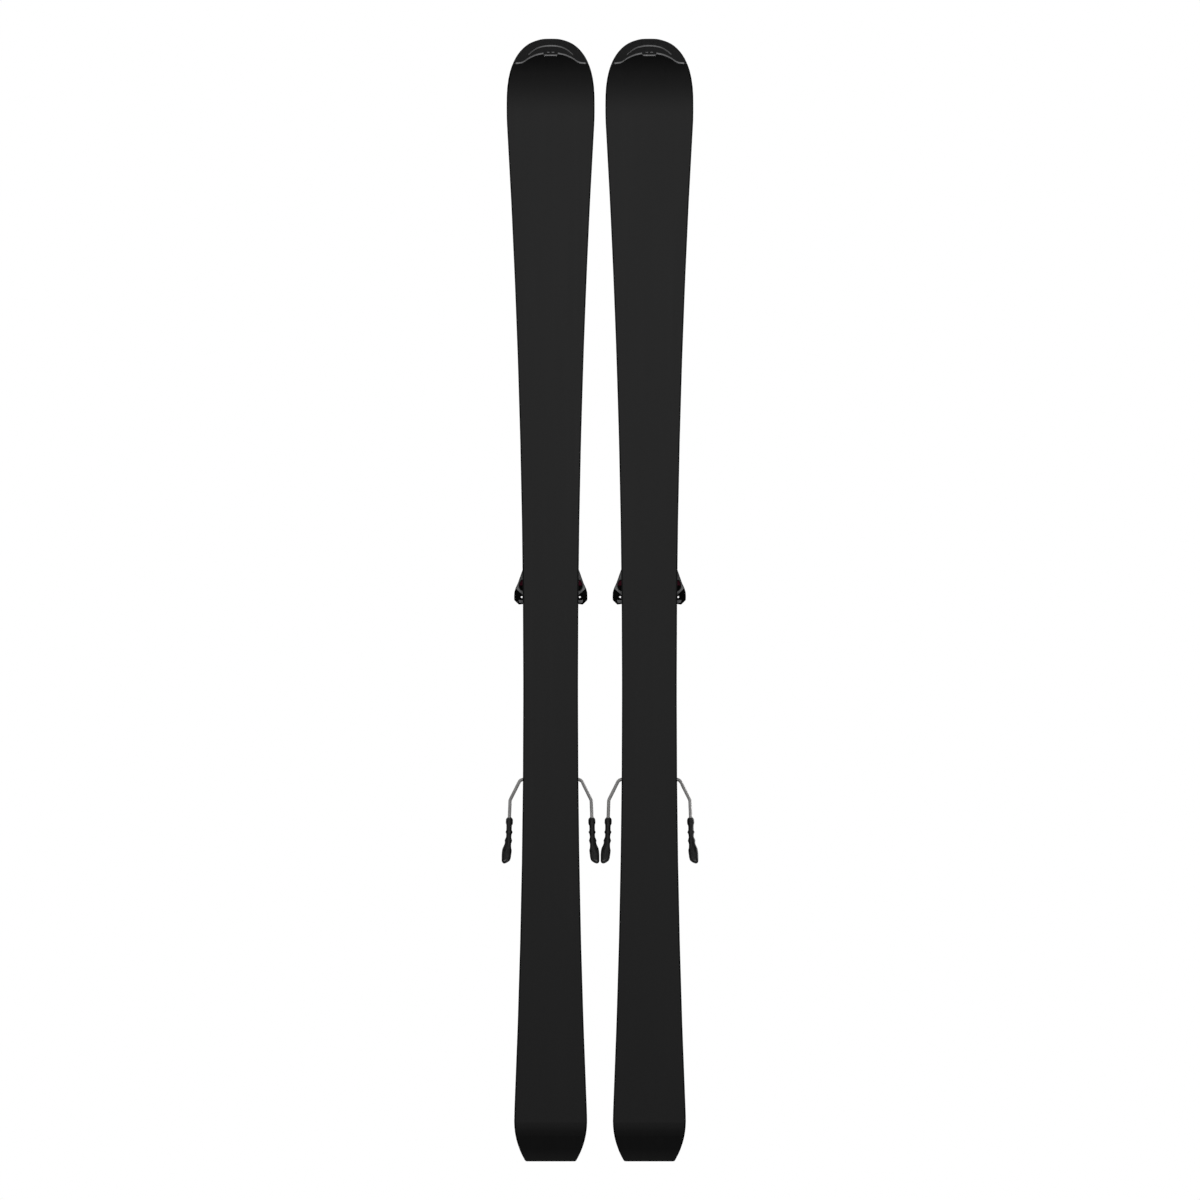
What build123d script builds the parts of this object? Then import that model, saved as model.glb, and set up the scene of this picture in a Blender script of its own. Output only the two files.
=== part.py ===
"""A pair of alpine skis with toe, heel and brake bindings, in millimetres.

+Y points to the ski tips, +Z is up, and X = 0 is half way between the skis.
Every shape is drawn once for one ski, with X = 0 on that ski's centre line and
Z = 0 on its running base, and is then placed under both skis' names.
Z = 0 of the finished pair is the level that the lowered brake feet stand on.
"""
import os
from math import cos, radians, sin, sqrt

from build123d import *

os.makedirs("parts", exist_ok=True)

# Cutting shapes run this far past what they cut
MARGIN = 10.0
CUT_HEIGHT = 100.0

# Ski outline, seen from above
LENGTH = 1600.0
SKI_SPACING = 140.5
TIP_Y, TAIL_Y = LENGTH / 2, -LENGTH / 2
WAIST_HALF = 39.0
WAIST_FRONT_Y, WAIST_REAR_Y = -114.4, -142.9
SIDECUT_RADIUS = 13550.0
SHOVEL_HALF, SHOVEL_Y = 62.6, 705.9
SHOVEL_START_Y = 676.8
TIP_ROUNDNESS = 2.43
TAIL_HALF, TAIL_WIDEST_Y = 51.9, -742.0
TAIL_START_Y = -719.0
TAIL_CORNER_RADIUS = 112.0
TAIL_FILLET = 4.0

# Ski seen from the side
TIP_BEND_Y, TIP_BEND_RADIUS, TIP_BEND_REACH = 682.0, 183.6, 44.0
TAIL_BEND_Y, TAIL_BEND_RADIUS, TAIL_BEND_ANGLE = -744.0, 75.0, 15.0
TAIL_KICK_LENGTH = 45.0
THICK_MIDDLE, THICK_END = 14.5, 7.0
THICK_FRONT_Y, THICK_REAR_Y = 120.0, -450.0

# Layers, counted up from the running base
BASE_THICK = 1.3
EDGE_HEIGHT, EDGE_WIDTH = 2.0, 2.0
EDGE_FRONT_Y, EDGE_REAR_Y = 752.0, -775.0
SIDEWALL_WIDTH = 6.0
UPPER_LAMINATE_THICK, TOPSHEET_THICK = 0.8, 0.7

# Tip cap: its curved seam with the base, right half, from the edge inwards
CAP_SEAM = [(66.0, 762.6), (49.8, 762.8), (41.8, 763.8), (37.2, 765.9),
            (30.8, 770.4), (20.8, 775.0), (9.9, 777.7)]
CAP_TAB_HALF, CAP_TAB_Y = 9.0, 773.8

# Binding rail
RAIL_FRONT_Y, RAIL_REAR_Y = 100.0, -430.0
WEB_HALF, FLANGE_HALF = 25.0, 29.0
WEB_TOP, RAIL_TOP = 19.0, 21.5
RAIL_CORNER = 8.0
RACK_FRONT_Y, RACK_PITCH, RACK_COUNT = -132.0, 5.0, 17
RACK_SLOT = (14.0, 2.4, 1.5)
SCREW_ROWS, SCREW_HALF_SPACING = (84.0, -70.0, -250.0, -420.0), 16.0
SCREW_SHANK, SCREW_HEAD, SCREW_TIP_Z = 2.1, 4.6, 4.0
RECESS_HALF, RECESS_SLOT_HALF, RECESS_DEPTH = 2.6, 0.5, 1.6

# Shoe that grips the rail, under the toe and the heel
SHOE_HALF, SHOE_TOP, SHOE_BOTTOM = 32.0, 24.8, 14.9
SLIDE_GAP = 0.3

# Fits and the slots of the setting screws
RUNNING_GAP = 0.05
WIRE_GAP = 0.07
DRIVER_SLOT_HALF_WIDTH, DRIVER_SLOT_HALF_LENGTH = 0.9, 5.0
SETTING_HEAD_RADIUS = 6.5

# Boot
SOLE_Z = 44.0
TOE_LUG_TOP, HEEL_LUG_TOP = 63.0, 74.0
BOOT_HEEL_Y, BOOT_HEEL_RADIUS = -287.5, 36.0

# Toe piece
TOE_REAR_Y, TOE_FRONT_Y = 30.0, 99.0
TOE_HALF, TOE_TOP = 24.0, 68.0
TOE_NOSE = [(76.0, TOE_TOP), (94.0, 61.0), (TOE_FRONT_Y, 44.0)]
TOE_BRIDGE_TOP = 31.0
WING_PIVOT = (18.0, 62.0)
WING_SLOT = (46.0, 62.0)
WING_GAP = 0.4
WING_PIN_RADIUS, WING_PIN_FOOT_Z = 2.5, 30.0
WING_HOLE_RADIUS, WING_HOLE = 1.4, (41.5, 3.6)
WING_POCKET = [(38.5, 27.5), (42.2, 27.5), (44.6, 22.5), (44.9, 18.5), (43.6, 14.8), (40.6, 12.6),
               (38.5, 12.8)]
WING_POCKET_DEPTH = 6.0
SPRING_WEB_HALF = 9.5
TOE_SCREW_Z, TOE_SCREW_RADIUS, TOE_TUNNEL_RADIUS = 54.0, 3.0, 7.7
TOE_TUNNEL = (36.0, 88.0)
TOE_NUT_Y, TOE_NUT_LENGTH = 68.0, 6.0
POINTER_TRAVEL = 5.0
AFD_HALF, AFD_REAR_Y, AFD_FRONT_Y = 33.0, -36.0, 5.0
AFD_BASE_HALF, AFD_BASE_FRONT_Y, AFD_BASE_TOP = 28.0, 8.0, 40.7
AFD_TONGUE_HALF, AFD_TONGUE_REAR_Y, AFD_TONGUE_FRONT_Y, AFD_TONGUE_Z = 23.0, -20.0, -14.0, 37.0
AFD_TONGUE_TRAVEL = 9.0
AFD_GROOVES = (-31.0, -26.0, -5.5, -0.5)

# Heel piece
CARRIAGE_REAR_Y, CARRIAGE_FRONT_Y = -402.0, -176.0
HEEL_PIVOT, HEEL_PIN_RADIUS = (-352.0, 44.0), 3.0
CHEEK_IN, CHEEK_OUT = 22.5, 26.5
CUP_REAR_Y, CUP_FRONT_Y, CUP_HALF = -304.0, -272.0, 33.0
HOUSING_LOW_HALF, HOUSING_HIGH_HALF, HOUSING_STEP_Z = 22.0, 26.0, 57.5
HOUSING_PROFILE = [(CUP_REAR_Y, 46), (CUP_REAR_Y, 88), (-330, 90), (-375, 77), (-392, 64),
                   (-381, 50), (-370, 40), (-362, 33), (-345, 31.5), (-318, 39)]
CUP_TOP, CUP_BOTTOM, CUP_LIP_Z = 80.0, 50.0, HEEL_LUG_TOP + 0.5
SPUR_HALF, SPUR_FRONT_Y, SPUR_BOTTOM, SPUR_TOP = 13.0, -268.0, 38.5, 43.5
HEEL_SCREW_Z, HEEL_SCREW_RADIUS, HEEL_TUNNEL_RADIUS = 60.0, 4.0, 9.5
HEEL_TUNNEL = (-366.0, -306.0)
LEVER_PIVOT, LEVER_TILT, LEVER_LENGTH = (-338.0, 70.0), 30.0, 92.0
LEVER_ARM_IN, LEVER_ARM_OUT, TRUNNION_RADIUS = 26.6, 31.0, 4.0
LATCH_PIVOT, LATCH_PIN_RADIUS, LATCH_HALF = (-184.0, 28.0), 1.5, 12.0

# Brake
BRAKE_PIVOT = (-254.0, 31.5)
ARM_DROP_ANGLE = 35.0
ARM_WIRE_RADIUS = 2.4
ARM_ROUTE = [(6.0, -26.0), (17.0, -26.0), (17.0, 0.0), (33.0, 0.0), (43.8, 4.6), (57.8, 38.5),
             (60.0, 118.0)]
ARM_BENDS = [5.5, 5.5, 9.0, 7.0, 12.0]
FOOT_HALF_THICK = 4.2
FOOT_END = 145.9
FOOT_OUTER = [(62.3, 69.3), (63.5, 73), (63.7, 78), (62.9, 81), (63.1, 90), (64, 93.3), (63.1, 96.8),
              (63.4, 102.5), (65.1, 108.1), (65, 112), (66.8, 118), (68.6, 124.5), (69.4, 132),
              (69.4, 143), (68, FOOT_END)]
FOOT_INNER = [(65.5, 145.6), (58.8, 142.2), (57, 139), (55.9, 132), (55.2, 125.5), (55.9, 120),
              (55.8, 112), (54.6, 108.1), (55.6, 102.5), (55.2, 96.8), (54.1, 93.3), (55.1, 90),
              (55.2, 82), (53.8, 79), (53.6, 73), (54.7, 69.3)]
BRAKE_PLATE = (30.0, -268.0, -191.0)
BRAKE_PLATE_TOP = 26.8
PEDAL_HINGE, PEDAL_PIN_RADIUS = (-195.0, 31.0), 2.0
PEDAL_LIFT = 21.0
PEDAL_HALF, PEDAL_LENGTH, PEDAL_KNUCKLE = 20.0, 63.0, 3.9
PEDAL_BOTTOM, PEDAL_TOP = 35.2, 43.5
PEDAL_RIBS = (-257.0, -252.0, -247.0, -242.0, -222.0, -217.0, -212.0)

BASE_HEIGHT = (FOOT_END * sin(radians(ARM_DROP_ANGLE)) - BRAKE_PIVOT[1]
               + FOOT_HALF_THICK * cos(radians(ARM_DROP_ANGLE)))


# ---------------------------------------------------------------- helpers

def box(x0, x1, y0, y1, z0, z1):
    """A block between two corners."""
    centre = ((x0 + x1) / 2, (y0 + y1) / 2, (z0 + z1) / 2)
    return Pos(*centre) * Box(x1 - x0, y1 - y0, z1 - z0)


def plan_plate(points, z0, z1):
    """A polygon seen from above, from height z0 to z1."""
    return Pos(0, 0, z0) * extrude(make_face(Polyline(*points, close=True)), z1 - z0)


def side_plate(points, x0, x1):
    """A polygon of (y, z) points seen from the side, from x0 to x1."""
    plane = Plane(origin=(x0, 0, 0), x_dir=(0, 1, 0), z_dir=(1, 0, 0))
    return extrude(plane * make_face(Polyline(*points, close=True)), x1 - x0)


def rod_x(radius, x0, x1, y, z):
    return Pos((x0 + x1) / 2, y, z) * Rot(0, 90, 0) * Cylinder(radius, x1 - x0)


def rod_y(radius, y0, y1, x, z):
    return Pos(x, (y0 + y1) / 2, z) * Rot(90, 0, 0) * Cylinder(radius, y1 - y0)


def rod_z(radius, z0, z1, x, y):
    return Pos(x, y, (z0 + z1) / 2) * Cylinder(radius, z1 - z0)


def both_sides(shape):
    """The shape and its mirror image about the ski's centre plane."""
    return shape + mirror(shape, about=Plane.YZ)


def turn_about_x(shape, pivot, angle):
    """Turn a shape about the X-direction line through pivot, a (y, z) pair."""
    return shape.rotate(Axis((0, *pivot), (1, 0, 0)), angle)


# ---------------------------------------------------------------- ski outline and layers

def tip_superellipse(share, inset):
    """Point on the rounded tip, from the widest place (0) to the tip (1)."""
    if share == 1:
        return (0.0, TIP_Y - inset)
    angle = radians(90 * share)
    power = 2 / TIP_ROUNDNESS
    return ((SHOVEL_HALF - inset) * cos(angle) ** power,
            SHOVEL_Y + (TIP_Y - inset - SHOVEL_Y) * sin(angle) ** power)


def sidecut_half(y):
    """Half width along the two long sidecut arcs."""
    reach = max(y - WAIST_FRONT_Y, WAIST_REAR_Y - y, 0.0)
    return WAIST_HALF + SIDECUT_RADIUS - sqrt(SIDECUT_RADIUS ** 2 - reach ** 2)


def outline_face(inset=0.0):
    """The whole ski seen from above, or the same outline drawn in by an inset."""
    corner_x, corner_radius = TAIL_HALF - TAIL_CORNER_RADIUS, TAIL_CORNER_RADIUS - inset
    end_sine = (TAIL_WIDEST_Y - TAIL_Y - inset) / corner_radius

    def corner_point(sine):
        return (corner_x + corner_radius * sqrt(1 - sine ** 2), TAIL_WIDEST_Y - corner_radius * sine)

    def side_point(y):
        return (sidecut_half(y) - inset, y)

    def side_arc(y0, y1):
        return ThreePointArc(side_point(y0), side_point((y0 + y1) / 2), side_point(y1))

    rear_slope = (TAIL_START_Y - WAIST_REAR_Y) / SIDECUT_RADIUS
    front_slope = (SHOVEL_START_Y - WAIST_FRONT_Y) / SIDECUT_RADIUS
    right_side = [
        Line((0, TAIL_Y + inset), corner_point(end_sine)),
        ThreePointArc(corner_point(end_sine), corner_point(end_sine / 2), corner_point(0.0)),
        Spline(corner_point(0.0), side_point(TAIL_START_Y), tangents=[(0, 1), (rear_slope, 1)]),
        side_arc(TAIL_START_Y, WAIST_REAR_Y),
        Line(side_point(WAIST_REAR_Y), side_point(WAIST_FRONT_Y)),
        side_arc(WAIST_FRONT_Y, SHOVEL_START_Y),
        Spline(side_point(SHOVEL_START_Y), (SHOVEL_HALF - inset, SHOVEL_Y),
               tangents=[(front_slope, 1), (0, 1)]),
        Spline(*[tip_superellipse(step / 8, inset) for step in range(9)], tangents=[(0, 1), (-1, 0)]),
    ]
    left_side = [mirror(edge, about=Plane.YZ) for edge in right_side]
    face = make_face(right_side + left_side)
    tail_end = face.vertices().filter_by(lambda v: v.Y < TAIL_Y + inset + 1 and abs(v.X) > 1)
    return fillet(tail_end, TAIL_FILLET)


def layer_line(middle_height, end_height):
    """Edges from tail to tip, at a height above the base that may thicken in the middle."""
    def bend_point(bend_y, radius, angle, height):
        return (bend_y + (radius - height) * sin(radians(angle)),
                radius - (radius - height) * cos(radians(angle)))

    tail = [bend_point(TAIL_BEND_Y, TAIL_BEND_RADIUS, -a, end_height)
            for a in (TAIL_BEND_ANGLE, TAIL_BEND_ANGLE / 2, 0)]
    kick_angle = radians(TAIL_BEND_ANGLE)
    kick_end = (tail[0][0] - TAIL_KICK_LENGTH * cos(kick_angle),
                tail[0][1] + TAIL_KICK_LENGTH * sin(kick_angle))
    tip = [bend_point(TIP_BEND_Y, TIP_BEND_RADIUS, a, end_height)
           for a in (0, TIP_BEND_REACH / 2, TIP_BEND_REACH)]
    rear, front = (THICK_REAR_Y, middle_height), (THICK_FRONT_Y, middle_height)
    if middle_height == end_height:
        middle = [Line(tail[2], tip[0])]
    else:
        level = [(1, 0), (1, 0)]
        middle = [Spline(tail[2], rear, tangents=level), Line(rear, front),
                  Spline(front, tip[0], tangents=level)]
    return [Line(kick_end, tail[0]), ThreePointArc(*tail), *middle, ThreePointArc(*tip)]


def layer(lower, upper):
    """A full-width slab between two layer lines, each a (middle, end) height pair."""
    low, high = layer_line(*lower), layer_line(*upper)
    ends = [Line(low[0] @ 0, high[0] @ 0), Line(low[-1] @ 1, high[-1] @ 1)]
    side = Plane(origin=(0, 0, 0), x_dir=(0, 1, 0), z_dir=(1, 0, 0))
    return extrude(side * make_face(low + high + ends), SHOVEL_HALF + MARGIN, both=True)


def cap_region():
    """Everything forward of the tip cap's seam."""
    seam = Spline(*CAP_SEAM)
    left_seam = mirror(seam, about=Plane.YZ)
    tab = Polyline(CAP_SEAM[-1], (CAP_TAB_HALF, CAP_TAB_Y), (-CAP_TAB_HALF, CAP_TAB_Y),
                   (-CAP_SEAM[-1][0], CAP_SEAM[-1][1]))
    side_x, seam_y = CAP_SEAM[0]
    front_y = TIP_Y + MARGIN
    front = Polyline((side_x, seam_y), (side_x, front_y), (-side_x, front_y), (-side_x, seam_y))
    face = make_face([seam, left_seam, *tab.edges(), *front.edges()])
    return Pos(0, 0, -MARGIN) * extrude(face, CUT_HEIGHT)


def screw_group(gap=0.0):
    """Countersunk rail screws, or with a gap the holes they need."""
    screws = []
    for y in SCREW_ROWS:
        for x in (-SCREW_HALF_SPACING, SCREW_HALF_SPACING):
            head_depth = SCREW_HEAD - SCREW_SHANK
            shank = rod_z(SCREW_SHANK + gap, SCREW_TIP_Z - gap, RAIL_TOP, x, y)
            cone_z = RAIL_TOP - head_depth / 2
            cone = Pos(x, y, cone_z) * Cone(SCREW_SHANK + gap, SCREW_HEAD + gap, head_depth)
            screws.append(shank + cone)
    return screws


def drive_recess(x, y, z):
    """A cross-shaped screwdriver recess, cut down from height z."""
    def slot(half_x, half_y):
        return box(x - half_x, x + half_x, y - half_y, y + half_y, z - RECESS_DEPTH, z + 1)

    return slot(RECESS_HALF, RECESS_SLOT_HALF) + slot(RECESS_SLOT_HALF, RECESS_HALF)


def ski_layers():
    def prism(inset):
        return Pos(0, 0, -MARGIN) * extrude(outline_face(inset), CUT_HEIGHT)

    full, inside_edges, inside_walls = prism(0), prism(EDGE_WIDTH), prism(SIDEWALL_WIDTH)
    cap = cap_region()
    side_x = SHOVEL_HALF + MARGIN
    edge_stretch = box(-side_x, side_x, EDGE_REAR_Y, EDGE_FRONT_Y, -MARGIN, CUT_HEIGHT)
    edge_zone = (full - inside_edges) & edge_stretch
    holes = screw_group(RUNNING_GAP)

    under_top = THICK_MIDDLE - TOPSHEET_THICK, THICK_END - TOPSHEET_THICK
    under_laminate = [height - UPPER_LAMINATE_THICK for height in under_top]
    running = layer((0, 0), (BASE_THICK, BASE_THICK)) & full
    lower = layer((BASE_THICK, BASE_THICK), (EDGE_HEIGHT, EDGE_HEIGHT)) & full
    middle = layer((EDGE_HEIGHT, EDGE_HEIGHT), under_laminate)
    upper = layer(under_laminate, under_top) & full
    top = layer(under_top, (THICK_MIDDLE, THICK_END)) & full
    whole = layer((0, 0), (THICK_MIDDLE, THICK_END)) & full
    return {
        "base_sheet": running - cap - edge_zone,
        "steel_edges": layer((0, 0), (EDGE_HEIGHT, EDGE_HEIGHT)) & edge_zone,
        "lower_laminate": lower - cap - edge_zone,
        "wood_core": (middle & inside_walls) - cap - holes,
        "sidewalls": (middle & (full - inside_walls)) - cap,
        "upper_laminate": upper - cap - holes,
        "topsheet": top - cap - holes,
        "tip_cap": whole & cap,
    }


# ---------------------------------------------------------------- rail

def binding_rail():
    length, middle = RAIL_FRONT_Y - RAIL_REAR_Y, (RAIL_FRONT_Y + RAIL_REAR_Y) / 2

    def bar(half, z0, z1):
        face = RectangleRounded(2 * half, length, RAIL_CORNER)
        return Pos(0, middle, z0) * extrude(face, z1 - z0)

    rail = bar(WEB_HALF, THICK_MIDDLE, WEB_TOP) + bar(FLANGE_HALF, WEB_TOP, RAIL_TOP)
    width, slot, depth = RACK_SLOT
    slots = [box(-width / 2, width / 2, y, y + slot, RAIL_TOP - depth, RAIL_TOP + 1)
             for y in (RACK_FRONT_Y - RACK_PITCH * n for n in range(RACK_COUNT))]
    return rail - slots - screw_group(RUNNING_GAP)


def rail_screws():
    recesses = [drive_recess(x, y, RAIL_TOP)
                for y in SCREW_ROWS for x in (-SCREW_HALF_SPACING, SCREW_HALF_SPACING)]
    return [screw - recesses for screw in screw_group()]


def rail_shoe(y0, y1, gap):
    """A block that hooks under the rail's flange, with the given gap all round."""
    block = box(-SHOE_HALF, SHOE_HALF, y0, y1, SHOE_BOTTOM, SHOE_TOP)
    web = box(-WEB_HALF - gap, WEB_HALF + gap, y0 - 1, y1 + 1, SHOE_BOTTOM - 1, WEB_TOP)
    flange = box(-FLANGE_HALF - gap, FLANGE_HALF + gap, y0 - 1, y1 + 1, WEB_TOP - gap, RAIL_TOP + gap)
    return block - web - flange


# ---------------------------------------------------------------- toe piece

def toe_body():
    rear_y = AFD_REAR_Y - 4
    shoe = rail_shoe(rear_y, TOE_FRONT_Y, 0)
    afd_base = box(-AFD_BASE_HALF, AFD_BASE_HALF, rear_y, AFD_BASE_FRONT_Y, SHOE_TOP, AFD_BASE_TOP)
    slot_half = AFD_TONGUE_HALF + AFD_TONGUE_TRAVEL
    tongue_slot = box(-slot_half, slot_half, AFD_TONGUE_REAR_Y - SLIDE_GAP,
                      AFD_TONGUE_FRONT_Y + SLIDE_GAP, AFD_TONGUE_Z - 0.5, AFD_BASE_TOP + 1)
    bridge_half = AFD_BASE_HALF - 2
    bridge = box(-bridge_half, bridge_half, AFD_BASE_FRONT_Y, TOE_REAR_Y, SHOE_TOP, TOE_BRIDGE_TOP)
    tower_profile = [(TOE_REAR_Y, SHOE_TOP), (TOE_REAR_Y, TOE_TOP), *TOE_NOSE, (TOE_FRONT_Y, SHOE_TOP)]
    tower = side_plate(tower_profile, -TOE_HALF, TOE_HALF)
    nose_corners = both_sides(plan_plate([(25, 80), (25, 101), (14, 101)], 20, 70))
    wing_slots = both_sides(box(SPRING_WEB_HALF, 40, TOE_REAR_Y - 2, 80, *WING_SLOT))
    tunnel = rod_y(TOE_TUNNEL_RADIUS, *TOE_TUNNEL, 0, TOE_SCREW_Z)
    screw_hole = rod_y(TOE_SCREW_RADIUS + RUNNING_GAP, 87, 92, 0, TOE_SCREW_Z)
    head_recess = rod_y(SETTING_HEAD_RADIUS + 0.3, 91, 101, 0, TOE_SCREW_Z)
    window = box(-3, 3, TOE_NUT_Y - POINTER_TRAVEL - 0.5,
                 TOE_NUT_Y + TOE_NUT_LENGTH + POINTER_TRAVEL + 0.5, TOE_SCREW_Z, TOE_TOP + 1)
    pin_holes = both_sides(rod_z(WING_PIN_RADIUS, WING_PIN_FOOT_Z, TOE_TOP + 1, *WING_PIVOT))
    body = shoe + afd_base + bridge + tower
    return body - [tongue_slot, nose_corners, wing_slots, tunnel, screw_hole, head_recess,
                   window, pin_holes]


def toe_wing():
    """The right-hand wing: a pivoted root, a side wall beside the boot toe and a lip over it."""
    root = [(18, 70), (26, 70), (30, 66), (34, 58), (39.7, 44), (30, 38), (14, 50), (10.3, 56),
            (10.3, 64)]
    wall = [(28, 62), (34, 58), (39.7, 44), (46.9, 23.6), (50.2, 16.5), (52.0, 10.5), (52.3, 3.4),
            (52.1, -0.8), (45.6, -7.2), (36, -6), (35.2, 1), (31.4, 10), (27.4, 16.5), (22.5, 21),
            (22.5, 28.8), (25.6, 29.5), (26.5, 34), (26.5, 58)]
    lip = [(36, -6), (35.2, 1), (31.4, 10), (27.4, 16.5), (22.5, 21), (18.5, 15), (22.5, 10),
           (26, 2), (27.5, -5)]
    low, high = WING_SLOT[0] + WING_GAP, WING_SLOT[1] - WING_GAP
    wing = plan_plate(root, low, high) + plan_plate(wall, low, TOE_TOP)
    wing += plan_plate(lip, TOE_LUG_TOP + 1.5, TOE_TOP)
    pocket = plan_plate(WING_POCKET, low - 1, low + WING_POCKET_DEPTH)
    pin_hole = rod_z(WING_PIN_RADIUS + RUNNING_GAP, low - 1, TOE_TOP + 1, *WING_PIVOT)
    tip_hole = rod_z(WING_HOLE_RADIUS, low - 1, TOE_TOP + 1, *WING_HOLE)
    return wing - pocket - pin_hole - tip_hole


def wing_pins():
    pin = rod_z(WING_PIN_RADIUS, WING_PIN_FOOT_Z, TOE_TOP - SLIDE_GAP, *WING_PIVOT)
    return [pin, mirror(pin, about=Plane.YZ)]


def coil_spring(outer, inner, y0, y1, z, turns):
    """A compression spring closed up into ridged rings about the Y axis."""
    pitch = (y1 - y0) / turns
    ridge = (outer - inner) / 4
    crest = [(outer - (ridge if n % 2 == 0 else 0), y0 + n * pitch / 2) for n in range(2 * turns + 1)]
    profile = Polyline((inner, y0), *crest, (inner, y1), close=True)
    ring = revolve(make_face(profile), Axis.Y)
    return Pos(0, 0, z) * ring


def driver_slot(y0, y1, z):
    """The slot across a setting screw's head."""
    half_x, half_z = DRIVER_SLOT_HALF_LENGTH, DRIVER_SLOT_HALF_WIDTH
    return box(-half_x, half_x, y0, y1, z - half_z, z + half_z)


def toe_setting_screw():
    shank = rod_y(TOE_SCREW_RADIUS, 60, 91.5, 0, TOE_SCREW_Z)
    head = rod_y(SETTING_HEAD_RADIUS, 91.3, 95.8, 0, TOE_SCREW_Z)
    return shank + head - driver_slot(94, 97, TOE_SCREW_Z)


def toe_setting_pointer():
    nut = rod_y(TOE_TUNNEL_RADIUS - 0.4, TOE_NUT_Y, TOE_NUT_Y + TOE_NUT_LENGTH, 0, TOE_SCREW_Z)
    tab = box(-2.5, 2.5, TOE_NUT_Y + 1.5, TOE_NUT_Y + 4.5, TOE_SCREW_Z + 4, TOE_TOP - 1.5)
    thread = rod_y(TOE_SCREW_RADIUS + RUNNING_GAP, TOE_NUT_Y - 1, TOE_NUT_Y + 8, 0, TOE_SCREW_Z)
    return nut + tab - thread


def afd_slide_plate():
    middle_y = (AFD_REAR_Y + AFD_FRONT_Y) / 2
    face = RectangleRounded(2 * AFD_HALF, AFD_FRONT_Y - AFD_REAR_Y, 6)
    bottom = AFD_BASE_TOP + SLIDE_GAP
    plate = Pos(0, middle_y, bottom) * extrude(face, SOLE_Z - bottom)
    tongue = box(-AFD_TONGUE_HALF, AFD_TONGUE_HALF, AFD_TONGUE_REAR_Y, AFD_TONGUE_FRONT_Y,
                 AFD_TONGUE_Z, bottom + 0.5)
    grooves = [box(-AFD_HALF + 5, AFD_HALF - 5, y, y + 1.5, SOLE_Z - 0.6, SOLE_Z + 1)
               for y in AFD_GROOVES]
    return plate + tongue - grooves


# ---------------------------------------------------------------- heel piece

def heel_carriage():
    pivot_y = HEEL_PIVOT[0]
    shoe = rail_shoe(CARRIAGE_REAR_Y, CARRIAGE_FRONT_Y, SLIDE_GAP)
    cheek = side_plate([(pivot_y - 18, SHOE_TOP), (pivot_y + 18, SHOE_TOP),
                        (pivot_y + 11, 48), (pivot_y - 11, 48)], CHEEK_IN, CHEEK_OUT)
    cheek += rod_x(12, CHEEK_IN, CHEEK_OUT, *HEEL_PIVOT)
    latch_lug = side_plate([(-190, SHOE_TOP), (-178, SHOE_TOP), (-180, 31), (-188, 31)], 12.5, 17)
    body = shoe + both_sides(cheek) + both_sides(latch_lug)
    latch_gap = box(-9, 9, -181, CARRIAGE_FRONT_Y + 1, RAIL_TOP, SHOE_TOP + 1)
    pivot_hole = rod_x(HEEL_PIN_RADIUS, -40, 40, *HEEL_PIVOT)
    latch_hole = rod_x(LATCH_PIN_RADIUS, -40, 40, *LATCH_PIVOT)
    return body - latch_gap - pivot_hole - latch_hole


def heel_pins():
    pivot = rod_x(HEEL_PIN_RADIUS, -CHEEK_OUT, CHEEK_OUT, *HEEL_PIVOT)
    latch = rod_x(LATCH_PIN_RADIUS, -17, 17, *LATCH_PIVOT)
    pedal = rod_x(PEDAL_PIN_RADIUS, -18, 18, *PEDAL_HINGE)
    return [pivot, latch, pedal]


def length_lock_lever():
    """A flip-up latch at the front of the heel carriage, over the rail's rack."""
    y, z = LATCH_PIVOT
    plate = side_plate([(y - 2, z - 2), (y + 3, z + 2), (y + 22, z + 2), (y + 30, z + 5),
                        (y + 31, z + 3), (y + 24, z - 1), (y + 3, z - 2.2)], -LATCH_HALF, LATCH_HALF)
    knuckle = rod_x(2 * LATCH_PIN_RADIUS, -LATCH_HALF, LATCH_HALF, y, z)
    tooth = side_plate([(y + 14, z), (y + 18, z), (y + 17, RAIL_TOP + SLIDE_GAP),
                        (y + 15.2, RAIL_TOP + SLIDE_GAP)], -6, 6)
    return plate + knuckle + tooth - rod_x(LATCH_PIN_RADIUS + RUNNING_GAP, -20, 20, y, z)


def heel_housing():
    low = side_plate(HOUSING_PROFILE, -HOUSING_LOW_HALF, HOUSING_LOW_HALF)
    high = side_plate(HOUSING_PROFILE, -HOUSING_HIGH_HALF, HOUSING_HIGH_HALF)
    high -= box(-40, 40, -400, -300, 20, HOUSING_STEP_Z)
    trunnions = rod_x(TRUNNION_RADIUS, -31.2, 31.2, *LEVER_PIVOT)
    tunnel = rod_y(HEEL_TUNNEL_RADIUS, *HEEL_TUNNEL, 0, HEEL_SCREW_Z)
    screw_hole = rod_y(HEEL_SCREW_RADIUS + RUNNING_GAP, -383, -365, 0, HEEL_SCREW_Z)
    head_recess = rod_y(SETTING_HEAD_RADIUS + 0.4, -400, -382, 0, HEEL_SCREW_Z)
    pivot_hole = rod_x(HEEL_PIN_RADIUS + RUNNING_GAP, -40, 40, *HEEL_PIVOT)
    return low + high + trunnions - [tunnel, screw_hole, head_recess, pivot_hole]


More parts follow.
